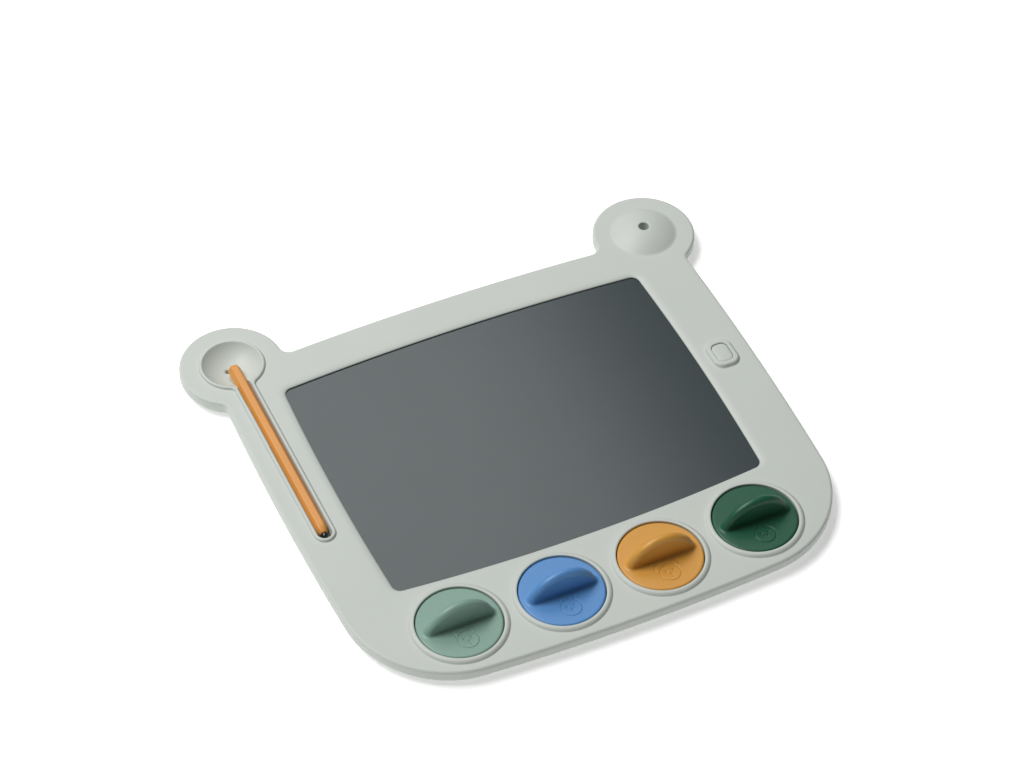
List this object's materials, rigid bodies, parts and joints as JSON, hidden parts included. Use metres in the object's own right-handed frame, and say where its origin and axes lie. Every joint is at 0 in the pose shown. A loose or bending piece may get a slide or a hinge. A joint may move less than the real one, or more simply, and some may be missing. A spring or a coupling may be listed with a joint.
{
  "type": "kids toy tablet",
  "caption": "Bear-shaped drawing tablet for children with a pressure-sensitive writing film, a stylus in its slot, picture stamps in round wells, and an erase button.",
  "frame": {"origin": "centre of the rear face, on the plane the tablet lies on", "axes": "+X to the right of the drawing side, +Y towards the two ears, +Z out of the drawing side"},
  "size_m": [0.287, 0.2586, 0.0255],
  "materials": {
    "shell": "matte, light grey-green",
    "film": "satin dark grey",
    "dark_plastic": "matte black",
    "foam_tape": "soft black",
    "flex": "amber film",
    "board": "green solder mask",
    "steel": "bright zinc",
    "connector": "cream",
    "ceramic": "tan",
    "switch_cream": "cream",
    "wire_red": "insulation",
    "wire_black": "insulation",
    "orange": "satin orange",
    "tip": "satin black",
    "mint": "satin mint",
    "blue": "satin blue",
    "ochre": "satin ochre",
    "green": "satin dark green",
    "die": "off-white"
  },
  "bodies": {
    "tablet_body": {"front_housing": "shell", "rear_cover": "shell", "housing_screws": "steel", "screen_tape": "foam_tape", "writing_film": "film", "black_sheet": "dark_plastic", "support_plate": "dark_plastic", "flex_tail": "flex", "control_board": "board", "board_screws": "steel", "flex_connector": "connector", "controller_chip": "dark_plastic", "chip_capacitors": "ceramic", "switch_body": "dark_plastic", "battery_holder": "dark_plastic", "contact_minus": "steel", "contact_plus": "steel", "coin_cell": "steel", "lead_red": "wire_red", "lead_black": "wire_black"},
    "erase_button": {"erase_button": "shell"},
    "switch_plunger": {"switch_plunger": "switch_cream"},
    "battery_door": {"battery_door": "shell", "door_screws": "steel"},
    "stylus": {"stylus_barrel": "orange", "stylus_tip": "tip"},
    "stamp_mint": {"stamp_cap_mint": "mint", "stamp_die_mint": "die"},
    "stamp_blue": {"stamp_cap_blue": "blue", "stamp_die_blue": "die"},
    "stamp_ochre": {"stamp_cap_ochre": "ochre", "stamp_die_ochre": "die"},
    "stamp_green": {"stamp_cap_green": "green", "stamp_die_green": "die"}
  },
  "joints": [
    {"name": "erase_press", "type": "slide", "parent": "tablet_body", "child": "erase_button", "axis": [0, 0, -1], "range_m": [0, 0.0004], "stiffness_N_per_m": 1200, "springref_m": -0.0008},
    {"name": "switch_press", "type": "slide", "parent": "tablet_body", "child": "switch_plunger", "axis": [0, 0, -1], "range_m": [0, 0.0005]},
    {"name": "battery_door_out", "type": "slide", "parent": "tablet_body", "child": "battery_door", "axis": [0, 0, -1], "range_m": [0, 0.02]},
    {"name": "stylus_lift", "type": "slide", "parent": "tablet_body", "child": "stylus", "axis": [0, 0, 1], "range_m": [0, 0.04]},
    {"name": "stamp_mint_lift", "type": "slide", "parent": "tablet_body", "child": "stamp_mint", "axis": [0, 0, 1], "range_m": [0, 0.04]},
    {"name": "stamp_blue_lift", "type": "slide", "parent": "tablet_body", "child": "stamp_blue", "axis": [0, 0, 1], "range_m": [0, 0.04]},
    {"name": "stamp_ochre_lift", "type": "slide", "parent": "tablet_body", "child": "stamp_ochre", "axis": [0, 0, 1], "range_m": [0, 0.04]},
    {"name": "stamp_green_lift", "type": "slide", "parent": "tablet_body", "child": "stamp_green", "axis": [0, 0, 1], "range_m": [0, 0.04]}
  ],
  "couplings": [
    {"joint": "switch_press", "follows": "erase_press", "ratio": 1}
  ]
}
